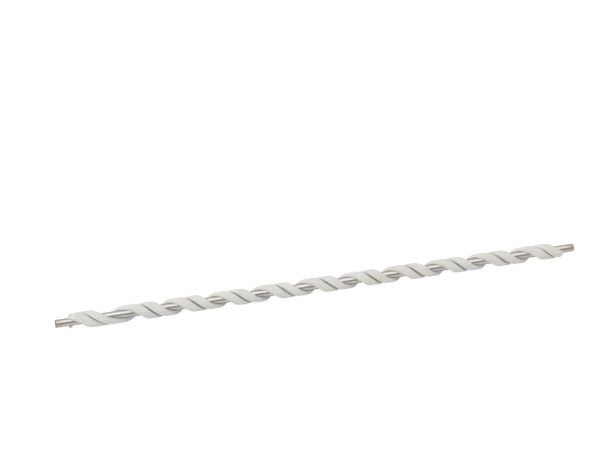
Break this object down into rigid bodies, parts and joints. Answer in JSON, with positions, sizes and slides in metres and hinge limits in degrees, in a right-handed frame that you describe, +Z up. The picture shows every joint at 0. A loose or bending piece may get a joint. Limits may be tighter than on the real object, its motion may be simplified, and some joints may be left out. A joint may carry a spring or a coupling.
{
  "type": "charge roller cleaning roller",
  "caption": "Thin steel shaft with two soft foam strips taped side by side and wound round it as a helix, for wiping a charge roller clean.",
  "frame": {"origin": "middle of the shaft's axis, half way along the shaft", "axes": "+X along the shaft towards the end where the foam's last turn ends, +Z up, -Y towards the front"},
  "size_m": [0.331, 0.0104, 0.0104],
  "materials": {
    "steel": "ground and plated, bright, slightly warm",
    "foam": "matt light grey fine-celled urethane foam",
    "tape": "thin whitish double-sided tape"
  },
  "bodies": {
    "root": {"shaft": "steel", "adhesive_tape_a": "tape", "adhesive_tape_b": "tape", "foam_strip_a": "foam", "foam_strip_b": "foam"}
  },
  "joints": []
}
